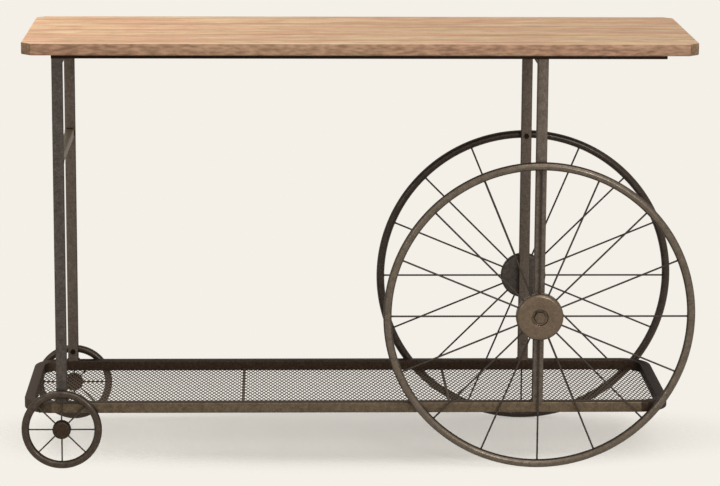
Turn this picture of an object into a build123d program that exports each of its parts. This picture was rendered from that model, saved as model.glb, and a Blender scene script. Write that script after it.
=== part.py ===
"""Console table on four wire-spoked wheels, as separate pieces in one frame.

Frame: millimetres, +Z up, +X from the small wheels to the big ones, -Y is the front.
The origin is on the floor, under the middle of the overall length and depth.
"""
from build123d import *
import math
import os

os.makedirs("parts", exist_ok=True)

# --- overall ---
table_height = 892.0
frame_depth = 388.0          # outer face to outer face of legs and rails
wheelbase = 988.0            # small axle to big axle, and leg pair to leg pair

# --- stock ---
tube = 22.0                  # square tube of legs and tray frame
tube_wall = 1.5
cross_tube = 18.0            # square tube of the ties between a leg pair
cross_wall = 1.5
seat_gap = 0.2               # paint and fit between pieces that are bolted or welded up
hole_play = 0.05             # radial room of a threaded fit
bolt_play = 0.4              # radial room of a bolt in its clearance hole

# --- board top ---
top_length = 1375.0
top_depth = 434.0
top_thickness = 26.0
board_count = 4
corner_clip = 20.0
edge_ease = 2.0
top_overhang = 60.0          # end of the top past the outer face of the small-wheel legs

# --- flat bar subframe ---
bar_length = 1251.0
bar_width = 38.0
bar_thickness = 8.0
bar_setback = 15.0           # front face of the bar behind the edge of the top

# --- leg ties ---
brace_top = 653.0            # upper face of the tie between the small-wheel legs

# --- tray ---
tray_bottom = 115.7
tray_past_small = 70.0       # end of the tray past the outer face of the small-wheel legs
tray_past_big = 266.0
tray_corner = 60.0           # outer radius of the bent corners
tray_rod = 6.0
tray_rod_spacing = 434.0
mesh_thickness = 1.5
mesh_margin = 5.0            # edge of the mesh inside the outer face of the tray frame
mesh_columns = 11            # diamonds along the tray, in every other row
mesh_rows = 5
mesh_strand = 9.0

# --- big wheels ---
big_rim_radius = 314.4       # to the middle of the rim tube
big_rim_tube = 17.2
big_spoke_count = 16
big_spoke = 4.0
hub_diameter = 98.0
hub_outer_depth = 16.0       # wheel plane to the outer face of the cap
hub_edge_round = 8.0
hub_core_inset = 3.0         # drum inside the edge of the cap and flange
spoke_slot = 3.0             # half width of the groove that the spokes come in through
hub_recess = 34.0
hub_recess_depth = 5.0

# --- small wheels ---
small_rim_radius = 75.4
small_rim_tube = 16.0
small_spoke_count = 8
small_spoke = 3.4
small_hub_diameter = 38.0
small_hub_depth = 24.0
small_hub_bevel = 4.5

# --- few-sided sections of the pieces that repeat ---
rim_sides = 8
spoke_sides = 6

# --- fasteners ---
hub_bolt = 12.0
hub_bolt_flats = 22.0
hub_bolt_head = 7.5
hub_nut_flats = 18.0
hub_nut_thickness = 10.0
thread_past_nut = 1.5
rim_bolt = 6.0
rim_bolt_flats = 10.0
rim_bolt_head = 4.0
rim_bolt_in_rim = 10.0       # how far the bolt reaches into the rim tube
rim_bolt_spare = 2.0         # hole past the bolt's tip

# --- levels and places that follow ---
big_wheel_radius = big_rim_radius + big_rim_tube / 2
small_wheel_radius = small_rim_radius + small_rim_tube / 2
overall_length = small_wheel_radius + wheelbase + big_wheel_radius
small_x = -overall_length / 2 + small_wheel_radius
big_x = small_x + wheelbase
big_z = big_wheel_radius
small_z = small_wheel_radius

top_under = table_height - top_thickness
bar_under = top_under - bar_thickness
tray_top = tray_bottom + tube
leg_y = frame_depth / 2 - tube / 2
leg_face = frame_depth / 2
leg_inner_face = leg_face - tube
big_plane = leg_face + seat_gap + big_rim_tube / 2
small_plane = leg_face + seat_gap + small_rim_tube / 2

bar_end = small_x - tube / 2
top_end = bar_end - top_overhang
top_x = top_end + top_length / 2
bar_x = bar_end + bar_length / 2
bar_y = top_depth / 2 - bar_setback - bar_width / 2
tray_start = small_x - tube / 2 - tray_past_small
tray_end = big_x + tube / 2 + tray_past_big
tray_x = (tray_start + tray_end) / 2
tray_length = tray_end - tray_start

hub_inner_depth = big_plane - leg_face - seat_gap
hub_core_radius = hub_diameter / 2 - hub_core_inset
hub_bore_radius = hub_bolt / 2 + bolt_play
recess_floor = hub_outer_depth - hub_recess_depth

SIDES = {"front": -1, "back": 1}


def save(piece, label):
    """Label a finished piece and write its STEP file."""
    piece.part.label = label
    export_step(piece.part, f"parts/{label}.step")


def facing(x, y, z, side):
    """A plane across the table whose normal points outwards on the given side."""
    return Plane(origin=(x, y * side, z), x_dir=(1, 0, 0), z_dir=(0, side, 0))


def turning_profile(x, y, z, side):
    """A level plane through a wheel axis: local x is the radius, local y points outwards."""
    return Plane(origin=(x, y * side, z), x_dir=(1, 0, 0), z_dir=(0, 0, side))


def wheel_axis(x, z):
    """The axis that everything in a wheel is turned about."""
    return Axis((x, 0, z), (0, 1, 0))


# ------------------------------------------------------------------ board top
def make_board(index):
    """One board of the top, its outer corners clipped where it is an outside board."""
    width = top_depth / board_count
    middle = -top_depth / 2 + width * (index + 0.5)
    is_front = index == 0
    is_back = index == board_count - 1
    with BuildPart() as board:
        with BuildSketch(Plane.XY.offset(top_under)) as outline:
            with Locations((top_x, middle)):
                Rectangle(top_length, width)
            if is_front:
                chamfer(outline.vertices().group_by(Axis.Y)[0], corner_clip)
            if is_back:
                chamfer(outline.vertices().group_by(Axis.Y)[-1], corner_clip)
        extrude(amount=top_thickness)
        flat_edges = board.faces().filter_by(Axis.Z).edges()
        eased = flat_edges.filter_by(Axis.X, reverse=True)
        if is_front:
            eased += flat_edges.group_by(Axis.Y)[0]
        if is_back:
            eased += flat_edges.group_by(Axis.Y)[-1]
        chamfer(eased, edge_ease)
    save(board, f"top_board_{index + 1}")


# ------------------------------------------------------------------ subframe
def make_long_bar(name, side):
    """Flat bar under the front or back edge of the top."""
    with BuildPart() as bar:
        with BuildSketch(Plane.XY.offset(bar_under)):
            with Locations((bar_x, side * bar_y)):
                Rectangle(bar_length, bar_width)
        extrude(amount=bar_thickness)
    save(bar, f"subframe_bar_{name}")


def make_end_bar(name, direction):
    """Flat bar between the long bars, at one end of the top."""
    middle = bar_x + direction * (bar_length / 2 - bar_width / 2)
    with BuildPart() as bar:
        with BuildSketch(Plane.XY.offset(bar_under)):
            with Locations((middle, 0)):
                Rectangle(bar_width, 2 * bar_y - bar_width)
        extrude(amount=bar_thickness)
    save(bar, f"subframe_bar_{name}")


# ------------------------------------------------------------------ legs and ties
def make_leg(name, x, side, bores):
    """Square tube from the tray rail to the flat bar; each bore is (level, diameter, depth)."""
    with BuildPart() as leg:
        with BuildSketch(Plane.XY.offset(tray_top)):
            with Locations((x, side * leg_y)):
                Rectangle(tube, tube)
                Rectangle(tube - 2 * tube_wall, tube - 2 * tube_wall, mode=Mode.SUBTRACT)
        extrude(amount=bar_under - tray_top)
        for level, diameter, depth in bores:
            with BuildSketch(facing(x, leg_face, level, side)):
                Circle(diameter / 2 + bolt_play)
            extrude(amount=-depth, mode=Mode.SUBTRACT)
    save(leg, name)


def make_tie(name, x, upper_face):
    """Square tube between the inner faces of a leg pair."""
    with BuildPart() as tie:
        with BuildSketch(Plane.XZ.offset(-leg_inner_face)):
            with Locations((x, upper_face - cross_tube / 2)):
                Rectangle(cross_tube, cross_tube)
                inside = cross_tube - 2 * cross_wall
                Rectangle(inside, inside, mode=Mode.SUBTRACT)
        extrude(amount=2 * leg_inner_face)
    save(tie, name)


# ------------------------------------------------------------------ tray
def make_rail(name, side):
    """Straight square tube along the front or back of the tray."""
    with BuildPart() as rail:
        with BuildSketch(Plane.YZ.offset(tray_start + tray_corner)):
            with Locations((side * leg_y, tray_bottom + tube / 2)):
                Rectangle(tube, tube)
                Rectangle(tube - 2 * tube_wall, tube - 2 * tube_wall, mode=Mode.SUBTRACT)
        extrude(amount=tray_length - 2 * tray_corner)
    save(rail, f"tray_{name}_rail")


def make_end_bend(name, direction):
    """Square tube bent into a U that closes one end of the tray."""
    keep = (tray_x + direction * (tray_length - tray_corner) / 2, 0)
    with BuildPart() as bend:
        with BuildSketch(Plane.XY.offset(tray_bottom)):
            with Locations((tray_x, 0)):
                RectangleRounded(tray_length, frame_depth, tray_corner)
                RectangleRounded(
                    tray_length - 2 * tube, frame_depth - 2 * tube, tray_corner - tube, mode=Mode.SUBTRACT
                )
            with Locations(keep):
                Rectangle(tray_corner, frame_depth, mode=Mode.INTERSECT)
        extrude(amount=tube)
        with BuildSketch(Plane.XY.offset(tray_bottom + tube_wall)):
            with Locations((tray_x, 0)):
                RectangleRounded(
                    tray_length - 2 * tube_wall, frame_depth - 2 * tube_wall, tray_corner - tube_wall
                )
                RectangleRounded(
                    tray_length - 2 * (tube - tube_wall),
                    frame_depth - 2 * (tube - tube_wall),
                    tray_corner - tube + tube_wall,
                    mode=Mode.SUBTRACT,
                )
        extrude(amount=tube - 2 * tube_wall, mode=Mode.SUBTRACT)
    save(bend, f"tray_{name}_bend")


def make_tray_rod(name, direction):
    """Round rod between the rails, carrying the mesh."""
    with BuildPart() as rod:
        with BuildSketch(Plane.XZ.offset(-(leg_inner_face - hole_play))):
            with Locations((tray_x + direction * tray_rod_spacing / 2, tray_bottom + tray_rod / 2)):
                Circle(tray_rod / 2)
        extrude(amount=2 * (leg_inner_face - hole_play))
    save(rod, f"tray_rod_{name}")


def make_mesh():
    """Diamond mesh sheet welded under the tray frame, its diamonds in staggered rows."""
    pitch_x = (tray_length - 2 * tube) / mesh_columns
    pitch_y = (frame_depth - 2 * tube) / mesh_rows
    lean = math.hypot(pitch_x, pitch_y)
    half_x = (pitch_x - mesh_strand * lean / pitch_y) / 2
    half_y = (pitch_y - mesh_strand * lean / pitch_x) / 2
    corners = [(-half_x, 0), (0, -half_y), (half_x, 0), (0, half_y)]
    length = tray_length - 2 * mesh_margin
    depth = frame_depth - 2 * mesh_margin
    with BuildPart() as mesh:
        with BuildSketch(Plane.XY.offset(tray_bottom - mesh_thickness)):
            with Locations((tray_x, 0)):
                RectangleRounded(length, depth, tray_corner - mesh_margin)
                with GridLocations(pitch_x, pitch_y, mesh_columns, mesh_rows):
                    Polygon(*corners, mode=Mode.SUBTRACT)
                with GridLocations(pitch_x, pitch_y, mesh_columns - 1, mesh_rows - 1):
                    Polygon(*corners, mode=Mode.SUBTRACT)
        extrude(amount=mesh_thickness)
    save(mesh, "tray_mesh")


# ------------------------------------------------------------------ wheels
def make_rims(label, x, z, plane_y, radius, stock, sides):
    """Tube bent into a ring on each side given, with a blind hole for the bolt through the leg."""
    with BuildPart() as rims:
        for side in sides:
            with BuildSketch(turning_profile(x, plane_y, z, side)):
                with Locations((radius, 0)):
                    RegularPolygon(stock / 2, rim_sides, major_radius=False, rotation=180 / rim_sides)
            revolve(axis=wheel_axis(x, z))
            with BuildSketch(facing(x, plane_y - stock / 2, z + radius, side)):
                Circle(rim_bolt / 2 + hole_play)
            extrude(amount=rim_bolt_in_rim + rim_bolt_spare, mode=Mode.SUBTRACT)
    save(rims, label)


def spoke_planes(x, y, z, start, count):
    """Planes square to each spoke, standing off the wheel's axis by the start radius."""
    turns = [2 * math.pi * index / count for index in range(count)]
    rays = [(math.cos(turn), 0, math.sin(turn)) for turn in turns]
    return [Plane(origin=(x, y, z), x_dir=(0, 1, 0), z_dir=ray).offset(start) for ray in rays]


def make_spokes(label, x, z, plane_y, start, end, wire, count):
    """Straight wires from the hub to the rim, evenly round the wheel."""
    with BuildPart() as spokes:
        with BuildSketch(*spoke_planes(x, plane_y, z, start, count)):
            RegularPolygon(wire / 2, spoke_sides)
        extrude(amount=end - start)
    save(spokes, label)


def make_hub_cores():
    """Turned drums that the spokes are welded to, each with a flange against its leg."""
    edge = hub_diameter / 2
    with BuildPart() as cores:
        for side in SIDES.values():
            with BuildSketch(turning_profile(big_x, big_plane, big_z, side)):
                with BuildLine():
                    Polyline(
                        (hub_bore_radius, -hub_inner_depth),
                        (edge, -hub_inner_depth),
                        (edge, -spoke_slot),
                        (hub_core_radius, -spoke_slot),
                        (hub_core_radius, spoke_slot),
                        (hub_bore_radius, spoke_slot),
                        close=True,
                    )
                make_face()
            revolve(axis=wheel_axis(big_x, big_z))
    save(cores, "big_wheel_hub_cores")


def make_hub_caps():
    """Outer caps of the big hubs: a rounded edge, and a recess for the bolt head."""
    edge = hub_diameter / 2
    bend = hub_edge_round * (1 - math.cos(math.pi / 4))
    with BuildPart() as caps:
        for side in SIDES.values():
            with BuildSketch(turning_profile(big_x, big_plane, big_z, side)):
                with BuildLine():
                    Polyline(
                        (hub_bore_radius, spoke_slot),
                        (edge, spoke_slot),
                        (edge, hub_outer_depth - hub_edge_round),
                        (edge - bend, hub_outer_depth - bend),
                        (edge - hub_edge_round, hub_outer_depth),
                        (hub_recess / 2, hub_outer_depth),
                        (hub_recess / 2, recess_floor),
                        (hub_bore_radius, recess_floor),
                        close=True,
                    )
                make_face()
            revolve(axis=wheel_axis(big_x, big_z))
    save(caps, "big_wheel_hub_caps")


def make_small_hubs():
    """Turned hubs of the small wheels, bevelled at both ends."""
    with BuildPart() as hubs:
        for side in SIDES.values():
            with BuildSketch(facing(small_x, small_plane - small_hub_depth / 2, small_z, side)):
                Circle(small_hub_diameter / 2)
            extrude(amount=small_hub_depth)
        chamfer(hubs.edges().filter_by(GeomType.CIRCLE), small_hub_bevel)
    save(hubs, "small_wheel_hubs")


# ------------------------------------------------------------------ fasteners
def make_hub_bolts():
    """Hexagon bolts through the big hubs into the nuts in the legs."""
    seat = big_plane + recess_floor
    tip = leg_face - tube_wall - hub_nut_thickness - thread_past_nut
    with BuildPart() as bolts:
        for side in SIDES.values():
            with BuildSketch(facing(big_x, seat, big_z, side)):
                RegularPolygon(hub_bolt_flats / 2, 6, major_radius=False)
            extrude(amount=hub_bolt_head)
            with BuildSketch(facing(big_x, seat, big_z, side)):
                Circle(hub_bolt / 2)
            extrude(amount=-(seat - tip))
    save(bolts, "hub_bolts")


def make_hub_nuts():
    """Hexagon nuts welded inside the big-wheel legs."""
    with BuildPart() as nuts:
        for side in SIDES.values():
            with BuildSketch(facing(big_x, leg_face - tube_wall, big_z, side)):
                RegularPolygon(hub_nut_flats / 2, 6, major_radius=False, rotation=30)
                Circle(hub_bolt / 2 + hole_play, mode=Mode.SUBTRACT)
            extrude(amount=-hub_nut_thickness)
    save(nuts, "hub_nuts")


def make_rim_bolts():
    """Hexagon bolts through the legs into the tops of the rims."""
    places = ((small_x, small_z + small_rim_radius), (big_x, big_z + big_rim_radius))
    with BuildPart() as bolts:
        for side in SIDES.values():
            for x, z in places:
                with BuildSketch(facing(x, leg_inner_face, z, side)):
                    RegularPolygon(rim_bolt_flats / 2, 6, major_radius=False)
                extrude(amount=-rim_bolt_head)
                with BuildSketch(facing(x, leg_inner_face, z, side)):
                    Circle(rim_bolt / 2)
                extrude(amount=tube + seat_gap + rim_bolt_in_rim)
    save(bolts, "rim_bolts")


# ------------------------------------------------------------------ assembly
def make_top():
    """Boards and the flat bars under them."""
    for index in range(board_count):
        make_board(index)
    for name, side in SIDES.items():
        make_long_bar(name, side)
    make_end_bar("left", -1)
    make_end_bar("right", 1)


def make_stand():
    """Legs, their ties and the tray between the wheels."""
    for name, side in SIDES.items():
        small_bores = [(small_z + small_rim_radius, rim_bolt, tube)]
        make_leg(f"leg_{name}_left", small_x, side, small_bores)
        big_bores = [(big_z + big_rim_radius, rim_bolt, tube), (big_z, hub_bolt, tube / 2)]
        make_leg(f"leg_{name}_right", big_x, side, big_bores)
        make_rail(name, side)
    make_tie("leg_tie_top_left", small_x, bar_under)
    make_tie("leg_tie_top_right", big_x, bar_under)
    make_tie("leg_tie_middle_left", small_x, brace_top)
    make_end_bend("left", -1)
    make_end_bend("right", 1)
    make_tray_rod("left", -1)
    make_tray_rod("right", 1)
    make_mesh()


def make_big_wheels():
    """Big wheels, one against the outer face of each right-hand leg."""
    start = hub_core_radius + hole_play
    end = big_rim_radius - big_rim_tube / 2 - hole_play
    for name, side in SIDES.items():
        rim = f"{name}_big_wheel_rim"
        make_rims(rim, big_x, big_z, big_plane, big_rim_radius, big_rim_tube, [side])
        spokes = f"{name}_big_wheel_spokes"
        make_spokes(spokes, big_x, big_z, side * big_plane, start, end, big_spoke, big_spoke_count)
    make_hub_cores()
    make_hub_caps()
    make_hub_bolts()
    make_hub_nuts()


def make_small_wheels():
    """Small wheels, one against the outer face of each left-hand leg."""
    start = small_hub_diameter / 2 + hole_play
    end = small_rim_radius - small_rim_tube / 2 - hole_play
    both = list(SIDES.values())
    make_rims(
        "small_wheel_rims", small_x, small_z, small_plane, small_rim_radius, small_rim_tube, both
    )
    for name, side in SIDES.items():
        spokes = f"{name}_small_wheel_spokes"
        plane_y = side * small_plane
        make_spokes(spokes, small_x, small_z, plane_y, start, end, small_spoke, small_spoke_count)
    make_small_hubs()


make_top()
make_stand()
make_big_wheels()
make_small_wheels()
make_rim_bolts()
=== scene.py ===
"""Studio scene of a console table on four wire-spoked wheels.

Each class models one sub-assembly at the place that its frame nodes give it, and dresses it.
Sizes are in metres, and MM turns a size in millimetres to metres.
"""

import logging
import math
from collections.abc import Callable, Iterator
from contextlib import contextmanager
from dataclasses import dataclass
from enum import Enum
from functools import partial

import bmesh
import bpy
from mathutils import Euler, Matrix, Vector


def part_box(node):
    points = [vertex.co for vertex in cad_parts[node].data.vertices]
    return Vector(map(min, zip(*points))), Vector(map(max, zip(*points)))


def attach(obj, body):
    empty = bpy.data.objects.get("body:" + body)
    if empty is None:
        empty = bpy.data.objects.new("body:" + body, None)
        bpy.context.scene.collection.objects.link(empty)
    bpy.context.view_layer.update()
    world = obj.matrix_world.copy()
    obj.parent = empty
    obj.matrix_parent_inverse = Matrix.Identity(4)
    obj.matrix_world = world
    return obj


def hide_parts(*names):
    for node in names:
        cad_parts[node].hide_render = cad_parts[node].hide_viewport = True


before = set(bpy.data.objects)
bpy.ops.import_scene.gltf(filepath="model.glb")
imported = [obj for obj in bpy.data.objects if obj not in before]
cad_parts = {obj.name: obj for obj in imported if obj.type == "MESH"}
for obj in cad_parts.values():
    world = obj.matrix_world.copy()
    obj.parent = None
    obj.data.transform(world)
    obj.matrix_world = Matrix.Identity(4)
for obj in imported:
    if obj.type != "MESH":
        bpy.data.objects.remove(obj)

log = logging.getLogger("console_table")

MM = 0.001
NEAR = 0.1 * MM
TOUCHING = 0.01 * MM
BODY = "root"
SMOOTH_UNDER = math.radians(38)

# Half way along, a weld's bead is this many times wider than its rod.
BEAD_WIDTH = 1.12

# A mix node for colours takes their share in socket 0 and the colours in 6 and 7. One for
# plain numbers takes them in 2 and 3, and gives the result in output 0.
COLOURS = {"data_type": "RGBA"}
MIXED = 2

Test = Callable[[Vector, Vector], bool]
Point = tuple[float, float]
Range = tuple[float, float]
Triple = tuple[float, float, float]
Pair = tuple[Vector, Vector]
Shape = bpy.types.Object
Finish = bpy.types.Material
Socket = bpy.types.NodeSocket
Adder = Callable[..., bpy.types.Node]


class Along(Enum):
    """The frame axis that a straight piece runs along."""

    X = 0
    Y = 1
    Z = 2


class Element(Enum):
    """What is selected in edit mode."""

    VERT = "VERT"
    EDGE = "EDGE"
    FACE = "FACE"


class Side(Enum):
    """The long side of the table that a piece stands on."""

    FRONT = -1
    BACK = 1

    @property
    def label(self) -> str:
        """The word that node names use for the side."""
        return self.name.lower()


class Slot(Enum):
    """The record's material slots for the pieces that are modelled here."""

    BOARD = "oak_board"
    STEEL = "bronze_steel"
    HUB = "bronze_hub"
    MESH = "mesh_steel"
    BOLT = "bronze_fastener"


# ---------------------------------------------------------------- modelling by hand
def clear_selection() -> None:
    """Leave edit mode and deselect every object."""
    if bpy.context.object and bpy.context.object.mode != "OBJECT":
        bpy.ops.object.mode_set(mode="OBJECT")
    bpy.ops.object.select_all(action="DESELECT")


def select_only(pieces: list[Shape]) -> None:
    """Select these objects alone and make the first one active.

    Args:
        pieces: The objects to select.
    """
    clear_selection()
    for piece in pieces:
        piece.select_set(True)
    bpy.context.view_layer.objects.active = pieces[0]


@contextmanager
def editing(piece: Shape) -> Iterator[None]:
    """Work on one object's mesh in edit mode, all of it selected at first.

    Args:
        piece: The object to edit.
    """
    select_only([piece])
    bpy.ops.object.mode_set(mode="EDIT")
    bpy.ops.mesh.select_mode(type="VERT")
    bpy.ops.mesh.select_all(action="SELECT")
    yield
    bpy.ops.object.mode_set(mode="OBJECT")


def place_and_way(part: bmesh.types.BMVert | bmesh.types.BMEdge | bmesh.types.BMFace) -> Pair:
    """Read where an element lies and which way it goes.

    Args:
        part: The element.

    Returns:
        Its middle, and its normal or an edge's direction.
    """
    if isinstance(part, bmesh.types.BMVert):
        return part.co, part.normal
    if isinstance(part, bmesh.types.BMFace):
        return part.calc_center_median(), part.normal
    start, end = (vert.co for vert in part.verts)
    return (start + end) / 2, (end - start).normalized()


def pick(kind: Element, test: Test) -> int:
    """Select elements of the mesh in edit mode by a test, and nothing else.

    Args:
        kind: What to select.
        test: Called with what place_and_way reads.

    Returns:
        How many elements passed.
    """
    bpy.ops.mesh.select_mode(type=kind.value)
    bpy.ops.mesh.select_all(action="DESELECT")
    mesh = bpy.context.edit_object.data
    shape = bmesh.from_edit_mesh(mesh)
    parts = {Element.VERT: shape.verts, Element.EDGE: shape.edges, Element.FACE: shape.faces}
    found = 0
    for part in parts[kind]:
        chosen = test(*place_and_way(part))
        part.select_set(chosen)
        found += chosen
    shape.select_flush_mode()
    bmesh.update_edit_mesh(mesh)
    return found


def is_along(way: Vector, axis: Along) -> bool:
    """Whether a direction runs along an axis."""
    return abs(way[axis.value]) > 0.9


def settle() -> Shape:
    """Put the active object's place, turn and size into its mesh, and return it."""
    bpy.ops.object.transform_apply(location=True, rotation=True, scale=True)
    return bpy.context.object


def extrude(run: Vector) -> None:
    """Extrude what is selected."""
    bpy.ops.mesh.extrude_region_move(TRANSFORM_OT_translate={"value": run})


def apply_modifier(piece: Shape, kind: str, **settings: object) -> None:
    """Add a modifier to an object and apply it.

    Args:
        piece: The object.
        kind: Blender's name of the modifier type.
        settings: The modifier's properties.
    """
    select_only([piece])
    bpy.ops.object.modifier_add(type=kind)
    modifier = piece.modifiers[-1]
    for name, value in settings.items():
        setattr(modifier, name, value)
    bpy.ops.object.modifier_apply(modifier=modifier.name)


def thicken(shell: Shape, wall: float) -> None:
    """Give an open shell a wall that lies behind its faces."""
    apply_modifier(shell, "SOLIDIFY", thickness=wall, offset=-1.0)


def add_block(low: Vector, high: Vector) -> Shape:
    """Add a block between two corners.

    Args:
        low: The lowest corner.
        high: The highest corner.

    Returns:
        The new object.
    """
    clear_selection()
    bpy.ops.mesh.primitive_cube_add(size=1, location=(low + high) / 2, scale=high - low)
    return settle()


def add_rod(start: Vector, end: Vector, radius: float, sides: int) -> Shape:
    """Add a round rod between two points, its ends closed.

    Args:
        start: The middle of the first end.
        end: The middle of the last end.
        radius: The rod's radius.
        sides: How many faces it has round it.

    Returns:
        The new object.
    """
    clear_selection()
    run = end - start
    turn = run.to_track_quat("Z", "Y").to_euler()
    bpy.ops.mesh.primitive_cylinder_add(
        vertices=sides, radius=radius, depth=run.length, location=(start + end) / 2, rotation=turn
    )
    return settle()


def flare_ends(rod: Shape, start: Vector, end: Vector, reach: float, spread: float) -> None:
    """Lengthen a rod at both ends by the bead of its weld.

    Args:
        rod: The rod, which is that much shorter at each end.
        start: Where the first bead ends.
        end: Where the last bead ends.
        reach: A bead's length along the rod.
        spread: How many times wider than the rod a bead's far end is.
    """
    half = (end - start).normalized() * reach / 2
    with editing(rod):
        for tip, step in ((start, -half), (end, half)):
            near = tip - step * 2
            pick(Element.FACE, lambda middle, normal: (middle - near).length < reach / 4)
            extrude(step)
            bpy.ops.transform.resize(value=(BEAD_WIDTH,) * 3, center_override=near + step)
            extrude(step)
            bpy.ops.transform.resize(value=(spread / BEAD_WIDTH,) * 3, center_override=tip)


def recalculate_normals(piece: Shape) -> None:
    """Merge doubled points and turn every face outwards.

    Args:
        piece: The object to put right.
    """
    with editing(piece):
        bpy.ops.mesh.remove_doubles(threshold=0.002 * MM)
        bpy.ops.mesh.normals_make_consistent(inside=False)


def spin_profile(points: list[Point], centre: Vector, out: float, steps: int) -> Shape:
    """Draw an open outline point by point and spin it about a wheel's axis.

    Args:
        points: Radius and distance outwards of each point.
        centre: The point on the axis that distances are measured from.
        out: +1 where outwards is +Y, and -1 where it is -Y.
        steps: How many faces a turn has.

    Returns:
        The turned piece.
    """
    places = [centre + Vector((radius, offset * out, 0)) for radius, offset in points]
    clear_selection()
    bpy.ops.mesh.primitive_plane_add(size=MM, location=places[0])
    piece = settle()
    with editing(piece):
        bpy.ops.mesh.merge(type="CENTER")
        for here, there in zip(places, places[1:]):
            extrude(there - here)
        bpy.ops.mesh.select_all(action="SELECT")
        bpy.ops.mesh.spin(steps=steps, angle=math.tau, center=centre, axis=(0, 1, 0))
    recalculate_normals(piece)
    return piece


def arc_points(centre: Point, radius: float, start: float, end: float, steps: int) -> list[Point]:
    """Points of an arc in an outline.

    Args:
        centre: The arc's centre.
        radius: Its radius.
        start: The first angle in degrees.
        end: The last angle in degrees.
        steps: How many straight runs it has.

    Returns:
        The points, from first to last.
    """
    angles = [math.radians(start + (end - start) * index / steps) for index in range(steps + 1)]
    return [(centre[0] + radius * math.cos(a), centre[1] + radius * math.sin(a)) for a in angles]


def hexagon_radius(flats: float) -> float:
    """How far a hexagon's corners lie from its middle, from its size over the flats."""
    return flats / 2 / math.cos(math.pi / 6)


def join(pieces: list[Shape]) -> Shape:
    """Join objects into the first one, and return it."""
    select_only(pieces)
    bpy.ops.object.join()
    return bpy.context.object


def copy_of(piece: Shape, move: Callable[..., object], **settings: object) -> Shape:
    """Copy an object, with its own mesh, and move or turn the copy.

    Args:
        piece: The object to copy.
        move: The transform operator that moves or turns the copy's mesh.
        settings: The operator's settings.

    Returns:
        The copy.
    """
    select_only([piece])
    bpy.ops.object.duplicate(linked=False)
    copy = bpy.context.object
    with editing(copy):
        move(**settings)
    return copy


def hand_over(piece: Shape, name: str, material: Finish, slot: Slot, *nodes: str) -> None:
    """Name and dress a finished piece, and let it ride in place of its nodes.

    Args:
        piece: The finished object.
        name: Its name.
        material: Its finish.
        slot: The record's slot for that finish; not used.
        nodes: The nodes that it stands for.
    """
    piece.name = name
    piece.data.name = name
    piece.data.materials.clear()
    piece.data.materials.append(material)
    select_only([piece])
    bpy.ops.object.shade_smooth_by_angle(angle=SMOOTH_UNDER)
    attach(piece, BODY)
    if nodes:
        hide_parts(*nodes)
    log.info("%s: %d faces", name, len(piece.data.polygons))


# ---------------------------------------------------------------- finishes
def linear(code: str) -> tuple[float, float, float, float]:
    """Turn an sRGB hex colour to linear RGBA.

    Args:
        code: The colour, such as "#c8a27a".

    Returns:
        Linear red, green, blue and an alpha of 1.
    """
    values = [int(code[place : place + 2], 16) / 255 for place in (1, 3, 5)]
    red, green, blue = (v / 12.92 if v <= 0.04045 else ((v + 0.055) / 1.055) ** 2.4 for v in values)
    return red, green, blue, 1.0


def add_node(
    tree: bpy.types.NodeTree,
    kind: str,
    settings: dict[str, object] | None = None,
    inputs: dict[str | int, object] | list[object] | None = None,
) -> bpy.types.Node:
    """Add a node with its settings and links.

    Args:
        tree: The node tree.
        kind: The node's type, without the "ShaderNode" in front.
        settings: Properties of the node; "stops" fills a colour ramp with (place, colour).
        inputs: A value for each socket, or the output socket that feeds it.

    Returns:
        The new node.
    """
    node = tree.nodes.new(f"ShaderNode{kind}")
    for name, value in (settings or {}).items():
        if name != "stops":
            setattr(node, name, value)
            continue
        stops = node.color_ramp.elements
        while len(stops) < len(value):
            stops.new(0.5)
        for stop, (place, colour) in zip(stops, value):
            stop.position = place
            stop.color = colour
    pairs = inputs.items() if isinstance(inputs, dict) else enumerate(inputs or [])
    for socket, value in pairs:
        if isinstance(value, Socket):
            tree.links.new(value, node.inputs[socket])
        else:
            node.inputs[socket].default_value = value
    return node


def start_nodes(owner: Finish | bpy.types.World) -> Adder:
    """Empty the node tree of a material or a world.

    Args:
        owner: The material or the world.

    Returns:
        add_node for that tree.
    """
    owner.use_nodes = True
    owner.node_tree.nodes.clear()
    return partial(add_node, owner.node_tree)


@dataclass(frozen=True)
class Blots:
    """Noise whose blots are long along the grain, which runs along X."""

    length: float
    width: float
    detail: float
    fineness: float = 0.55

    def build(self, add: Adder, place: Socket) -> Socket:
        """Lay the noise.

        Args:
            add: Adds a node to the material.
            place: Gives the place on the board.

        Returns:
            The socket that gives the noise.
        """
        scale = (1 / self.length, 1 / self.width, 1 / self.width)
        scaled = add("VectorMath", {"operation": "MULTIPLY"}, [place, scale]).outputs[0]
        values = {"Vector": scaled, "Scale": 1.0, "Detail": self.detail, "Roughness": self.fineness}
        return add("TexNoise", inputs=values).outputs["Fac"]


@dataclass(frozen=True)
class Stain:
    """A colour that lies over the wood wherever its noise reads high."""

    blots: Blots
    reading: Range
    cover: float
    colour: str


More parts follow.
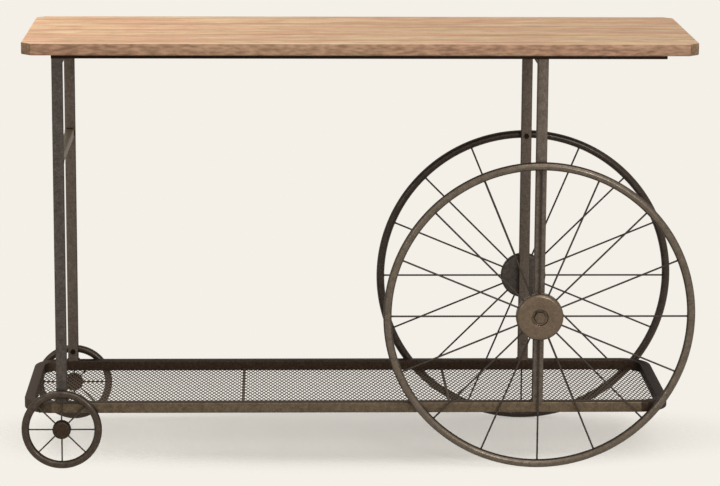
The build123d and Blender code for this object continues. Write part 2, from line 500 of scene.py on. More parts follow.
@dataclass(frozen=True)
class BoardFinish:
    """Sawn hardwood, stained light brown and sealed with satin lacquer.

    The stain leaves long bands of tan and pink, the open pores stay darker, and the lacquer
    gives a broad, soft sheen.
    """

    name: str
    shift: Triple
    face_level: float
    bend_scale: float = 3.0
    bend: float = 26 * MM
    band: Blots = Blots(380 * MM, 34 * MM, 3.0)
    band_colours: tuple[tuple[float, str], ...] = (
        (0.34, "#b58964"),
        (0.46, "#c8a178"),
        (0.56, "#dfbf94"),
        (0.68, "#be9a70"),
    )
    flush: Stain = Stain(Blots(140 * MM, 30 * MM, 5.0), (0.47, 0.62), 0.7, "#cc9676")
    streak: Stain = Stain(Blots(70 * MM, 3.2 * MM, 4.0), (0.42, 0.72), 0.42, "#96694b")
    mark: Stain = Stain(Blots(50 * MM, 15 * MM, 5.0), (0.5, 0.7), 0.5, "#96694b")
    pore: Stain = Stain(Blots(14 * MM, 0.7 * MM, 2.0), (0.6, 0.7), 0.7, "#6e4c33")
    roughness: Range = (0.46, 0.6)
    rough_reading: Range = (0.3, 0.7)
    glance: float = 0.32
    dent_strength: float = 0.35
    dent_depth: float = 0.25 * MM
    edge: Blots = Blots(24 * MM, 6 * MM, 3.0)
    edge_reading: Range = (0.35, 0.65)
    # Sawn sides: darker stain, and painted shade.
    edge_stain_and_shade_colours: tuple[str, str] = ("#c9a083", "#876751")
    edge_cover: float = 0.8
    edge_start: float = 0.8 * MM
    edge_full: float = 2.4 * MM
    # Eased edges: sanded through, and a painted highlight.
    wear_and_highlight_colour: str = "#ecc7a3"
    wear_and_highlight_cover: float = 0.55
    wear_and_highlight_slope: Range = (0.15, 0.35)
    level_slope: Range = (0.97, 0.999)
    # Ends: darker end grain, and painted shade.
    end_grain_and_shade_colour: str = "#bec4b6"
    end_slope: Range = (0.4, 0.75)

    def build(self) -> Finish:
        """Make the material, its grain along X.

        Returns:
            The material.
        """
        material = bpy.data.materials.new(self.name)
        add = start_nodes(material)
        place = add("TexCoord").outputs["Object"]
        moved = add("Mapping", inputs={"Vector": place, "Location": self.shift}).outputs[0]
        cloud = add("TexNoise", inputs={"Vector": moved, "Scale": self.bend_scale, "Detail": 2.0})
        reach = (0.0, self.bend, self.bend)
        lean = add("VectorMath", {"operation": "MULTIPLY"}, [cloud.outputs["Color"], reach])
        grain = add("VectorMath", {"operation": "ADD"}, [moved, lean.outputs[0]]).outputs[0]
        stops = [(reading, linear(colour)) for reading, colour in self.band_colours]
        ramp = add("ValToRGB", {"stops": stops}, {"Fac": self.band.build(add, grain)})
        wood = ramp.outputs["Color"]
        readings = {}
        covers = {}
        for stain in (self.flush, self.streak, self.mark, self.pore):
            noise = stain.blots.build(add, moved if stain is self.flush else grain)
            cover = add("MapRange", inputs=[noise, *stain.reading, 0.0, stain.cover]).outputs[0]
            wood = add("Mix", COLOURS, {0: cover, 6: wood, 7: linear(stain.colour)}).outputs[MIXED]
            readings[stain] = noise
            covers[stain] = cover
        rough = add("MapRange", inputs=[readings[self.streak], *self.rough_reading, *self.roughness])
        dents = add("Math", {"operation": "ADD"}, [covers[self.streak], covers[self.pore]]).outputs[0]
        relief = {"Height": dents, "Strength": self.dent_strength, "Distance": self.dent_depth}
        shader = add(
            "BsdfPrincipled",
            inputs={
                "Base Color": self.stain_and_shade_edges(add, place, wood),
                "Roughness": rough.outputs[0],
                "IOR": 1.5,
                "Specular IOR Level": self.glance,
                "Normal": add("Bump", {"invert": True}, relief).outputs["Normal"],
            },
        )
        add("OutputMaterial", inputs={"Surface": shader.outputs[0]})
        return material

    def stain_and_shade_edges(self, add: Adder, place: Socket, wood: Socket) -> Socket:
        """Darken the sawn sides and the ends, which take more stain and carry painted shade, and lighten
        the eased corners, sanded through and carrying a painted highlight.

        Args:
            add: Adds a node to the material.
            place: Gives the place on the board.
            wood: Gives the colour of the face.

        Returns:
            The socket that gives the final colour.
        """
        level = add("SeparateXYZ", inputs=[place]).outputs["Z"]
        depths = (self.face_level - self.edge_full, self.face_level - self.edge_start)
        # Sides below the face: darker stain, and painted shade on the less lit sides.
        below = add("MapRange", inputs=[level, *depths, self.edge_cover, 0.0]).outputs[0]
        cloud = self.edge.build(add, place)
        uneven = add("MapRange", inputs=[cloud, *self.edge_reading]).outputs[0]
        light, dark = (linear(colour) for colour in self.edge_stain_and_shade_colours)
        stain = add("Mix", COLOURS, {0: uneven, 6: light, 7: dark}).outputs[MIXED]
        facing = add("SeparateXYZ", inputs=[add("NewGeometry").outputs["True Normal"]]).outputs
        # Eased edges: lighter where sanded through, and a painted highlight.
        sloped = add("MapRange", inputs=[facing["Z"], *self.wear_and_highlight_slope, 0.0, self.wear_and_highlight_cover])
        not_level = add("MapRange", inputs=[facing["Z"], *self.level_slope, 1.0, 0.0])
        worn = add("Math", {"operation": "MULTIPLY"}, [sloped.outputs[0], not_level.outputs[0]])
        # Faces turned to the ends: darker end grain, and painted shade.
        turned = add("Math", {"operation": "ABSOLUTE"}, [facing["X"]]).outputs[0]
        end = add("MapRange", inputs=[turned, *self.end_slope])
        layers = (
            (below, "MIX", stain),
            (worn.outputs[0], "MIX", linear(self.wear_and_highlight_colour)),
            (end.outputs[0], "MULTIPLY", linear(self.end_grain_and_shade_colour)),
        )
        for cover, blend, colour in layers:
            shades = {0: cover, 6: wood, 7: colour}
            wood = add("Mix", {**COLOURS, "blend_type": blend}, shades).outputs[MIXED]
        return wood


@dataclass(frozen=True)
class Coating:
    """Steel with a dark bronze powder coat, rubbed by hand and waxed, or with zinc plate.

    The coat is satin with a fine orange-peel grain, lighter in random rubbed patches. Faces turned to the
    front or the back keep that colour as a painted highlight, and the other sides blend to a matt side
    colour, painted shade on most coats, so that a round tube shows a painted light crown between two
    painted dark edges. Wax adds a narrow bright line.
    """

    name: str
    base: str
    rubbed: str
    rub: float = 0.6
    roughness: float = 0.36
    # The side colour: painted shade on faces not turned to the front or the back, lighter on the tie's coat
    # as a painted reflection.
    painted_side_light: str = "#372d25"
    side_roughness: float = 0.58
    metallic: float = 0.35
    glance: float = 0.3
    wax: float = 0.0
    wax_roughness: float = 0.2
    sheen: str = "#b3a391"
    # How far a face must turn to the front or the back to go from the painted side colour to the lit
    # colour, the painted highlight crown.
    crown: Range = (0.4, 0.85)
    patch: float = 9 * MM
    patch_detail: float = 5.0
    patch_fineness: float = 0.62
    rub_reading: Range = (0.32, 0.72)
    fleck: float = 3.3 * MM
    fleck_detail: float = 3.0
    fleck_reading: Range = (0.44, 0.74)
    fleck_cover: float = 0.5
    rough_reading: Range = (0.3, 0.7)
    rough_swing: float = 0.08
    peel: float = 1.1 * MM
    peel_strength: float = 0.2
    peel_depth: float = 0.06 * MM

    def build(self) -> Finish:
        """Make the material.

        Returns:
            The material.
        """
        material = bpy.data.materials.new(self.name)
        add = start_nodes(material)
        place = add("TexCoord").outputs["Object"]
        noises = (
            (self.patch, {"Detail": self.patch_detail, "Roughness": self.patch_fineness}),
            (self.fleck, {"Detail": self.fleck_detail}),
            (self.peel, {"Detail": 1.0}),
        )
        cloud, fleck, peel = (
            add("TexNoise", inputs={"Vector": place, "Scale": 1 / size, **values}).outputs["Fac"]
            for size, values in noises
        )
        worn = add("MapRange", inputs=[cloud, *self.rub_reading, 0.0, self.rub]).outputs[0]
        specks = add("MapRange", inputs=[fleck, *self.fleck_reading, 0.0, self.fleck_cover]).outputs[0]
        spread = add("Math", {"operation": "ADD", "use_clamp": True}, [worn, specks]).outputs[0]
        shades = {0: spread, 6: linear(self.base), 7: linear(self.rubbed)}
        colour = add("Mix", COLOURS, shades).outputs[MIXED]
        # Painted light: faces turned to the front or the back get the rubbed colour as a painted highlight,
        # and the other sides the side colour as painted shade.
        normal = add("NewGeometry").outputs["Normal"]
        sideways = add("SeparateXYZ", inputs=[normal]).outputs["Y"]
        facing = add("Math", {"operation": "ABSOLUTE"}, [sideways]).outputs[0]
        crown = add("MapRange", inputs=[facing, *self.crown]).outputs[0]
        shaded = add("Mix", COLOURS, {0: crown, 6: linear(self.painted_side_light), 7: colour}).outputs[MIXED]
        swing = (self.roughness + self.rough_swing, self.roughness - self.rough_swing)
        rough = add("MapRange", inputs=[cloud, *self.rough_reading, *swing]).outputs[0]
        satin = add("Mix", inputs={0: crown, 2: self.side_roughness, 3: rough}).outputs[0]
        relief = {"Height": peel, "Strength": self.peel_strength, "Distance": self.peel_depth}
        shader = add(
            "BsdfPrincipled",
            inputs={
                "Base Color": shaded,
                "Metallic": self.metallic,
                "Specular IOR Level": self.glance,
                "Specular Tint": linear(self.sheen),
                "Coat Weight": self.wax,
                "Coat Roughness": self.wax_roughness,
                "Roughness": satin,
                "Normal": add("Bump", inputs=relief).outputs["Normal"],
            },
        )
        add("OutputMaterial", inputs={"Surface": shader.outputs[0]})
        return material


class Coats:
    """The coats of the steel, from the near-black bars to the rubbed hub caps.

    Several are lit and shaded copies of one bronze coat: darker copies paint shade on pieces that stand in
    shade, and a lighter one paints a reflection on the lower tie.
    """

    def __init__(self) -> None:
        """Mix every coat."""
        self.front = Coating("dark bronze powder coat", "#544839", "#80705c").build()
        # Painted shade: a darker copy of the coat for the left bend.
        self.bend = Coating("aged bronze powder coat", "#463b2f", "#6a5c4c").build()
        # Painted shade: a darker copy for the front left leg and the back big wheel's drum.
        self.painted_shade_leg = Coating("slate bronze powder coat", "#433e3a", "#6a625d").build()
        self.right_leg = Coating("grey bronze powder coat", "#574d45", "#7f7469").build()
        self.rim = Coating(
            "waxed bronze powder coat", "#564d42", "#847768", roughness=0.3, painted_side_light="#2b221b", wax=0.25
        ).build()
        self.wire = Coating("smoky bronze powder coat", "#3b3532", "#564e49").build()
        self.small = Coating(
            "brown bronze powder coat", "#362c25", "#5a4d41", painted_side_light="#1d1612", wax=0.3
        ).build()
        # Painted shade: a darker copy for the back rail, the right bend, the top ties, the tie welds and
        # the small hubs.
        self.back = Coating("deep bronze powder coat", "#2f241c", "#4f4035", painted_side_light="#1d1511").build()
        # Painted reflection: a lighter side colour for the lower left tie, whose top face shows the pale
        # surroundings.
        self.tie = Coating(
            "satin bronze powder coat",
            "#4c4337",
            "#6b6051",
            painted_side_light="#5a5042",
            side_roughness=0.45,
            glance=0.5,
        ).build()
        # Painted shade: a darker copy for the back big wheel's rim.
        self.back_rim = Coating(
            "black bronze powder coat", "#281f19", "#4e423a", painted_side_light="#130e0b", wax=0.3
        ).build()
        # Painted shade: a near-black copy for the bars under the top and the rim bolts.
        self.bar = Coating(
            "shade_darkened bronze powder coat", "#1b0f09", "#281911", roughness=0.5, painted_side_light="#160c07"
        ).build()
        self.cap = Coating(
            "rubbed bronze powder coat",
            "#5f5041",
            "#7d6a56",
            rub=0.7,
            roughness=0.3,
            painted_side_light="#4a3e33",
            wax=0.4,
        ).build()
        self.mesh = Coating(
            "matt bronze powder coat", "#4a3f35", "#665a4e", rub=0.5, roughness=0.5, painted_side_light="#51463c"
        ).build()
        self.bolt = Coating(
            "bronze coated bolt steel", "#5a4d40", "#7b6c5b", rub=0.7, roughness=0.3
        ).build()


# ---------------------------------------------------------------- straight stock
@dataclass(frozen=True)
class SquareTube:
    """A length of welded square tube, open at its ends, with rolled corners."""

    node: str
    run: Along
    wall: float = 1.5 * MM
    corner: float = 2.4 * MM

    def build(self, paint: Finish) -> None:
        """Model the tube in its node's place.

        Args:
            paint: Its finish.
        """
        tube = add_block(*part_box(self.node))
        with editing(tube):
            pick(Element.EDGE, lambda middle, way: is_along(way, self.run))
            bpy.ops.mesh.bevel(offset=self.corner, segments=5, affect="EDGES")
            pick(Element.FACE, lambda middle, normal: is_along(normal, self.run))
            bpy.ops.mesh.delete(type="FACE")
        thicken(tube, self.wall)
        hand_over(tube, f"{self.node}_tube", paint, Slot.STEEL, self.node)


@dataclass(frozen=True)
class FlatBar:
    """Hot-rolled flat bar with slightly rounded edges."""

    node: str
    edge: float = 0.9 * MM

    def build(self, paint: Finish) -> None:
        """Model the bar in its node's place.

        Args:
            paint: Its finish.
        """
        bar = add_block(*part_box(self.node))
        with editing(bar):
            bpy.ops.mesh.bevel(offset=self.edge, segments=3, affect="EDGES")
        hand_over(bar, f"{self.node}_flat", paint, Slot.STEEL, self.node)


@dataclass(frozen=True)
class Board:
    """One board of the top, its outer corners clipped and its open edges eased."""

    index: int
    count: int
    clip: float = 20 * MM
    ease: float = 3 * MM
    joint_ease: float = 0.35 * MM

    def build(self, lacquer: Finish) -> None:
        """Model the board in its node's place.

        Args:
            lacquer: Its finish.
        """
        node = f"top_board_{self.index}"
        low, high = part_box(node)
        board = add_block(low, high)
        open_sides = []
        if self.index == 1:
            open_sides.append(low.y)
        if self.index == self.count:
            open_sides.append(high.y)

        def is_on_open_side(middle: Vector) -> bool:
            return any(abs(middle.y - side) < MM for side in open_sides)

        def is_outer_corner(middle: Vector, way: Vector) -> bool:
            return is_along(way, Along.Z) and is_on_open_side(middle)

        def is_joint_edge(middle: Vector, way: Vector) -> bool:
            return is_along(way, Along.X) and not is_on_open_side(middle)

        def is_open_edge(middle: Vector, way: Vector) -> bool:
            on_face = min(middle.z - low.z, high.z - middle.z) < NEAR
            return on_face and not is_along(way, Along.Z) and not is_joint_edge(middle, way)

        with editing(board):
            if pick(Element.EDGE, is_outer_corner):
                bpy.ops.mesh.bevel(offset=self.clip, segments=1, affect="EDGES")
            pick(Element.EDGE, is_open_edge)
            bpy.ops.mesh.bevel(offset=self.ease, segments=4, affect="EDGES")
            pick(Element.EDGE, is_joint_edge)
            bpy.ops.mesh.bevel(offset=self.joint_ease, segments=2, affect="EDGES")
        hand_over(board, f"{node}_plank", lacquer, Slot.BOARD, node)


# ---------------------------------------------------------------- screws and welds
@dataclass(frozen=True)
class BoardScrew:
    """The flat head of a socket screw that goes up through a flat bar into the boards."""

    head: float = 10 * MM
    height: float = 0.6 * MM
    edge_share: float = 0.7
    socket: float = 5 * MM
    depth: float = 0.5 * MM

    def build(self, seat: Vector) -> Shape:
        """Model the head.

        Args:
            seat: The middle of its seat, on the underside of the bar.

        Returns:
            The head.
        """
        tip = seat - Vector((0, 0, self.height))
        screw = add_rod(tip, seat, self.head / 2, sides=24)
        with editing(screw):
            pick(Element.EDGE, lambda middle, way: abs(middle.z - tip.z) < TOUCHING)
            bpy.ops.mesh.bevel(offset=self.height * self.edge_share, segments=4, affect="EDGES")
        below = tip - Vector((0, 0, MM))
        key = add_rod(below, tip + Vector((0, 0, self.depth)), hexagon_radius(self.socket), sides=6)
        apply_modifier(screw, "BOOLEAN", object=key, operation="DIFFERENCE", solver="EXACT")
        select_only([key])
        bpy.ops.object.delete()
        return screw


@dataclass(frozen=True)
class WeldRun:
    """A short fillet weld, rippled where each drop of metal set."""

    radius: float = 2.0 * MM
    ripple: float = 1.5 * MM
    swell: float = 0.3 * MM

    def build(self, start: Vector, end: Vector) -> Shape:
        """Model the run in the corner between two tubes.

        Args:
            start: Where the run starts.
            end: Where it ends.

        Returns:
            The run.
        """
        bead = add_rod(start, end, self.radius, sides=10)
        length = (end - start).length
        way = (end - start).normalized()
        cuts = round(length / self.ripple)
        step = length / (cuts + 1)
        with editing(bead):
            pick(Element.EDGE, lambda middle, along: abs(along.dot(way)) > 0.9)
            bpy.ops.mesh.subdivide(number_cuts=cuts)
            pick(Element.VERT, lambda place, normal: round((place - start).dot(way) / step) % 2 == 1)
            bpy.ops.transform.shrink_fatten(value=-self.swell)
        return bead


# ---------------------------------------------------------------- top and stand
@dataclass(frozen=True)
class Top:
    """The board top, the flat bars under it and the screws through them."""

    board_count: int = 4
    grain_shift: Triple = (0.37, 0.83, 0.11)
    long_bar_screws: int = 5
    end_bar_screws: int = 2
    screw_margin: float = 80 * MM

    def build(self, coats: Coats) -> None:
        """Model the boards, each with its own run of grain, and the bars.

        Args:
            coats: The coats of the steel.
        """
        for index in range(1, self.board_count + 1):
            shift = tuple(step * index for step in self.grain_shift)
            face_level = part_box(f"top_board_{index}")[1].z
            finish = BoardFinish(f"satin lacquered hardwood board {index}", shift, face_level)
            Board(index, self.board_count).build(finish.build())
        places = []
        for name in ("front", "back", "left", "right"):
            # The bars take a near-black copy of the coat, painted shade under the top.
            FlatBar(f"subframe_bar_{name}").build(coats.bar)
            places += self.screw_places(f"subframe_bar_{name}")
        first = BoardScrew().build(places[0])
        shifts = [place - places[0] for place in places[1:]]
        screws = [first, *(copy_of(first, bpy.ops.transform.translate, value=shift) for shift in shifts)]
        hand_over(join(screws), "board_screws", coats.bolt, Slot.BOLT)

    def screw_places(self, bar: str) -> list[Vector]:
        """Space screws evenly along a bar.

        Args:
            bar: The bar's node.

        Returns:
            The middle of each screw's seat.
        """
        low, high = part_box(bar)
        run = Along.X if high.x - low.x > high.y - low.y else Along.Y
        count = self.long_bar_screws if run is Along.X else self.end_bar_screws
        first = low[run.value] + self.screw_margin
        last = high[run.value] - self.screw_margin
        places = []
        for index in range(count):
            place = (low + high) / 2
            place.z = low.z
            place[run.value] = first + (last - first) * index / (count - 1)
            places.append(place)
        return places


@dataclass(frozen=True)
class Stand:
    """The four legs, the ties between them and their welds."""

    tie_corner: float = 2.0 * MM
    weld_inset: float = 2.5 * MM
    weld_sink: float = 0.6 * MM

    def build(self, coats: Coats) -> None:
        """Model the legs and ties.

        Args:
            coats: The coats of the steel.
        """
        legs = {
            # The front left leg takes a darker copy of the coat, painted shade.
            "front_left": coats.painted_shade_leg,
            "front_right": coats.right_leg,
            "back_left": coats.right_leg,
            "back_right": coats.right_leg,
        }
        for leg, coat in legs.items():
            SquareTube(f"leg_{leg}", Along.Z).build(coat)
        # The top ties take a darker copy of the coat, painted shade, and the lower tie a lighter side
        # colour, a painted reflection.
        ties = {"top_left": coats.back, "top_right": coats.back, "middle_left": coats.tie}
        for tie, coat in ties.items():
            SquareTube(f"leg_tie_{tie}", Along.Y, corner=self.tie_corner).build(coat)
        welds = (
            ("leg_foot_welds", self.foot_seams(), coats.front),
            ("leg_tie_welds", self.tie_seams(), coats.back),
        )
        for name, seams, coat in welds:
            runs = [WeldRun().build(start, end) for start, end in seams]
            hand_over(join(runs), name, coat, Slot.STEEL)

    def foot_seams(self) -> list[Pair]:
        """Find where each leg meets its rail, on the two sides where the rail runs on.

        Returns:
            Both ends of each weld.
        """
        seams = []
        for side in Side:
            for end in ("left", "right"):
                low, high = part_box(f"leg_{side.label}_{end}")
                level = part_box(f"tray_{side.label}_rail")[1].z + self.weld_sink
                for x in (low.x - self.weld_sink, high.x + self.weld_sink):
                    start = Vector((x, low.y + self.weld_inset, level))
                    seams.append((start, Vector((x, high.y - self.weld_inset, level))))
        return seams

    def tie_seams(self) -> list[Pair]:
        """Find where the lower tie meets its legs, all round.

        Returns:
            Both ends of each weld.
        """
        seams = []
        low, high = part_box("leg_tie_middle_left")
        inset = self.weld_inset
        for y in (low.y + self.weld_sink, high.y - self.weld_sink):
            for z in (low.z - self.weld_sink, high.z + self.weld_sink):
                seams.append((Vector((low.x + inset, y, z)), Vector((high.x - inset, y, z))))
            for x in (low.x - self.weld_sink, high.x + self.weld_sink):
                seams.append((Vector((x, y, low.z + inset)), Vector((x, y, high.z - inset))))
        return seams


# ---------------------------------------------------------------- tray
@dataclass(frozen=True)
class TrayBend:
    """Square tube bent into a U that closes one end of the tray."""

    node: str
    out: int
    wall: float = 1.5 * MM
    corner: float = 2.4 * MM
    steps: int = 14

    def build(self, paint: Finish) -> None:
        """Model the bend in its node's place, from one rail's end to the other's.

        Args:
            paint: Its finish.
        """
        low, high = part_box(self.node)
        size = high.z - low.z
        radius = high.x - low.x
        inner_x = low.x if self.out > 0 else high.x
        middle_z = (low.z + high.z) / 2
        start = Vector((inner_x, low.y + size / 2, middle_z))
        clear_selection()
        bpy.ops.mesh.primitive_plane_add(size=size, location=start, rotation=(0, math.pi / 2, 0))
        bend = settle()
        first_centre = Vector((inner_x, low.y + radius, middle_z))
        last_centre = Vector((inner_x, high.y - radius, middle_z))
        turn = {"steps": self.steps, "angle": -self.out * math.pi / 2, "axis": (0, 0, 1)}

        def is_open_end(middle: Vector, normal: Vector) -> bool:
            return abs(middle.x - inner_x) < TOUCHING and is_along(normal, Along.X)

        with editing(bend):
            bpy.ops.mesh.bevel(offset=self.corner, segments=5, affect="VERTICES")
            bpy.ops.mesh.select_all(action="SELECT")
            bpy.ops.mesh.spin(center=first_centre, **turn)
            extrude(last_centre - first_centre)
            bpy.ops.mesh.spin(center=last_centre, **turn)
            pick(Element.FACE, is_open_end)
            bpy.ops.mesh.delete(type="FACE")
        recalculate_normals(bend)
        thicken(bend, self.wall)
        hand_over(bend, f"{self.node}_tube", paint, Slot.STEEL, self.node)


@dataclass(frozen=True)
class DiamondMesh:
    """Expanded steel mesh: sheet that is slit and pulled open into staggered diamonds.

    The long way of the diamonds runs from front to back.
    """

    node: str = "tray_mesh"
    long_way: float = 25.0 * MM
    short_way: float = 9.6 * MM
    strand: float = 2.2 * MM
    thickness: float = 0.6 * MM

    def build(self, paint: Finish, corner: float, hidden: float, splits: list[float]) -> None:
        """Model the mesh in bays that meet over the rods, trimmed to the frame above it.

        Args:
            paint: Its finish.
            corner: The outer radius of the frame's corners.
            hidden: How far the mesh's edge lies inside the frame's outer face.
            splits: Where two bays meet, along X.
        """
        low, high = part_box(self.node)
        radius = corner - hidden

        def is_grid_line(middle: Vector, way: Vector) -> bool:
            return max(abs(way.x), abs(way.y)) > 0.999

        def is_past_corner(middle: Vector, normal: Vector) -> bool:
            past_x = max(low.x + radius - middle.x, middle.x - high.x + radius)
            past_y = max(low.y + radius - middle.y, middle.y - high.y + radius)
            return past_x > 0 and past_y > 0 and math.hypot(past_x, past_y) > radius

        rows = round((high.y - low.y) / self.long_way)
        ends = [low.x, *splits, high.x]
        for bay, (start, end) in enumerate(zip(ends, ends[1:]), 1):
            columns = round((end - start) / self.short_way)
            middle = Vector(((start + end) / 2, (low.y + high.y) / 2, high.z))
            clear_selection()
            bpy.ops.mesh.primitive_grid_add(
                x_subdivisions=columns, y_subdivisions=rows, size=1, location=middle
            )
            sheet = settle()
            with editing(sheet):
                bpy.ops.transform.resize(value=(end - start, high.y - low.y, 1), center_override=middle)
                bpy.ops.mesh.poke()
                pick(Element.EDGE, is_grid_line)
                bpy.ops.mesh.dissolve_edges(use_verts=False)
                bpy.ops.mesh.select_mode(type="FACE")
                bpy.ops.mesh.select_all(action="SELECT")
                bpy.ops.mesh.inset(thickness=self.strand / 2, use_individual=True, use_boundary=True)
                bpy.ops.mesh.delete(type="FACE")
                pick(Element.FACE, is_past_corner)
                bpy.ops.mesh.delete(type="FACE")
            thicken(sheet, self.thickness)
            hand_over(sheet, f"{self.node}_bay_{bay}", paint, Slot.MESH, self.node)


@dataclass(frozen=True)
class Tray:
    """The tray frame, its mesh floor and the two rods that carry the mesh."""

    hidden: float = 5 * MM
    weld: float = 2.5 * MM
    rod_share: float = 0.97
    weld_spread: float = 1.02

    def build(self, coats: Coats) -> None:
        """Model the tray's pieces.

        Args:
            coats: The coats of the steel.
        """
        for side in Side:
            # The back rail takes a darker copy of the coat, painted shade.
            rail_coat = coats.front if side is Side.FRONT else coats.back
            SquareTube(f"tray_{side.label}_rail", Along.X).build(rail_coat)
        # Both bends take darker copies of the coat, painted shade.
        TrayBend("tray_left_bend", -1).build(coats.bend)
        TrayBend("tray_right_bend", 1).build(coats.back)
        low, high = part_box("tray_right_bend")
        rods = ["tray_rod_left", "tray_rod_right"]
        splits = [sum(corner.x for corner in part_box(rod)) / 2 for rod in rods]
        DiamondMesh().build(coats.mesh, high.x - low.x, self.hidden, splits)
        for rod in rods:
            self.build_rod(rod, coats.mesh)

    def build_rod(self, node: str, paint: Finish) -> None:
        """Model a rod and the welds at its ends.

        Args:
            node: The rod's node.
            paint: Its finish.
        """
        low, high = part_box(node)
        middle = (low + high) / 2
        start = Vector((middle.x, low.y, middle.z))
        end = Vector((middle.x, high.y, middle.z))
        inset = Vector((0, self.weld, 0))
        rod = add_rod(start + inset, end - inset, (high.z - low.z) / 2 * self.rod_share, sides=20)
        flare_ends(rod, start, end, self.weld, self.weld_spread)
        hand_over(rod, f"{node}_round", paint, Slot.MESH, node)


# ---------------------------------------------------------------- wheels
def nearest_face(node: str) -> float:
    """How far from the table's middle plane a node that lies on both sides starts."""
    return min(abs(vert.co.y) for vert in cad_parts[node].data.vertices)


@dataclass(frozen=True)
class Wheel:
    """A rim of round tube with straight wire spokes."""

    rim_node: str
    spokes_node: str
    spoke_count: int
    rim_steps: int
    weld: float
    shared_rim: bool = False
    wire_share: float = 0.96
    weld_spread: float = 1.04
    seam_angle: float = -68.0
    seam_rise: float = 0.25 * MM
    seam_reach: float = 20 * MM
    seam_steps: float = 0.75

    def box(self) -> Pair:
        """Find the rim's box on this wheel's side of the table.

        Returns:
            Its lowest and highest corner.
        """
        low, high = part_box(self.rim_node)
        if not self.shared_rim:
            return low, high
        spoke_low, spoke_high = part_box(self.spokes_node)
        plane = (spoke_low.y + spoke_high.y) / 2
        half = max(abs(low.y), abs(high.y)) - abs(plane)
        return Vector((low.x, plane - half, low.z)), Vector((high.x, plane + half, high.z))

    def centre(self) -> Vector:
        """The middle of the wheel."""
        low, high = self.box()
        return (low + high) / 2

    def build(self, paint: Finish) -> Shape:
        """Model the rim and the spokes.

        Args:
            paint: The spokes' finish.

        Returns:
            The rim, which is still to be handed over.
        """
        low, high = self.box()
        centre = self.centre()
        tube = (high.y - low.y) / 2
        radius = (high.x - low.x) / 2 - tube
        clear_selection()
        bpy.ops.mesh.primitive_torus_add(
            location=centre,
            rotation=(math.pi / 2, 0, 0),
            major_segments=self.rim_steps,
            minor_segments=24,
            major_radius=radius,
            minor_radius=tube,
        )
        rim = settle()
        self.raise_seam(rim, centre, radius)
        self.build_spokes(paint, centre)
        return rim

    def raise_seam(self, rim: Shape, centre: Vector, radius: float) -> None:
        """Swell the ring a little where its ends were welded together.

        Args:
            rim: The ring.
            centre: Its middle.
            radius: The radius of the tube's centre line.
        """
        turn = math.radians(self.seam_angle)
        seam = centre + Vector((math.cos(turn), 0, math.sin(turn))) * radius
        along = Vector((-math.sin(turn), 0, math.cos(turn)))
        half = radius * math.tau / self.rim_steps * self.seam_steps

        def is_seam(place: Vector, normal: Vector) -> bool:
            return (place - seam).length < self.seam_reach and abs((place - seam).dot(along)) < half

        with editing(rim):
            pick(Element.VERT, is_seam)
            bpy.ops.transform.shrink_fatten(value=-self.seam_rise)

    def build_spokes(self, paint: Finish, centre: Vector) -> None:
        """Model one spoke with its welds, and copy it round the wheel.

        Args:
            paint: The spokes' finish.
            centre: The middle of the wheel.
        """
        low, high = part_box(self.spokes_node)
        wire = (high.y - low.y) / 2
        start = centre + Vector((self.inner_radius(), 0, 0))
        end = centre + Vector(((high.x - low.x) / 2, 0, 0))
        inset = Vector((self.weld, 0, 0))
        first = add_rod(start + inset, end - inset, wire * self.wire_share, sides=12)
        flare_ends(first, start, end, self.weld, self.weld_spread)
        turned = partial(
            copy_of, first, bpy.ops.transform.rotate, orient_axis="Y", center_override=centre
        )
        step = math.tau / self.spoke_count
        spokes = join([first, *(turned(value=step * index) for index in range(1, self.spoke_count))])
        recalculate_normals(spokes)
        hand_over(spokes, f"{self.spokes_node}_wire", paint, Slot.STEEL, self.spokes_node)

    def inner_radius(self) -> float:
        """How far from the axis the spokes start."""
        centre = self.centre()
        places = [vert.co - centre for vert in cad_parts[self.spokes_node].data.vertices]
        return min(math.hypot(place.x, place.z) for place in places)


@dataclass(frozen=True)
class BigHub:
    """The hub of a big wheel: flanged drum, and a pressed cap with a recess."""

    centre: Vector
    out: int
    radius: float = 49 * MM
    depth: float = 16 * MM
    edge_round: float = 8 * MM
    back_round: float = 0.8 * MM
    slot: float = 3 * MM
    recess: float = 17 * MM
    recess_depth: float = 5 * MM
    lip: float = 1.2 * MM
    bore: float = 6.4 * MM
    drum: float = 46 * MM
    flange_round: float = 5 * MM
    flange_edge: float = 0.6 * MM
    steps: int = 96

    def spin(self, outline: list[Point]) -> Shape:
        """Turn an outline about the wheel's axis."""
        return spin_profile(outline, self.centre, self.out, self.steps)

    def cap_outline(self) -> list[Point]:
        """The outline of the outer cap, from its bore over the face to its back.

        Returns:
            The outline's points.
        """
        floor = self.depth - self.recess_depth
        edge = (self.radius - self.edge_round, self.depth - self.edge_round)
        back = (self.radius - self.back_round, self.slot + self.back_round)
        return [
            (self.bore, self.slot),
            (self.bore, floor),
            (self.recess - self.lip, floor),
            *arc_points((self.recess - self.lip, floor + self.lip), self.lip, -90, 0, steps=3),
            *arc_points((self.recess + self.lip, self.depth - self.lip), self.lip, 180, 90, steps=4),
            *arc_points(edge, self.edge_round, 90, 0, steps=10),
            *arc_points(back, self.back_round, 0, -90, steps=3),
            (self.bore, self.slot),
        ]

    def drum_outline(self) -> list[Point]:
        """The outline of the flanged drum, whose flange reaches inwards to the leg.

        Returns:
            The outline's points.
        """
        inner = abs(self.centre.y) - nearest_face("big_wheel_hub_cores")
        edge = (self.radius - self.flange_edge, -self.slot - self.flange_edge)
        turn = (self.radius - self.flange_round, -inner + self.flange_round)
        return [
            (self.bore, self.slot),
            (self.drum, self.slot),
            (self.drum, -self.slot),
            *arc_points(edge, self.flange_edge, 90, 0, steps=3),
            *arc_points(turn, self.flange_round, 0, -90, steps=5),
            (self.bore, -inner),
            (self.bore, self.slot),
        ]


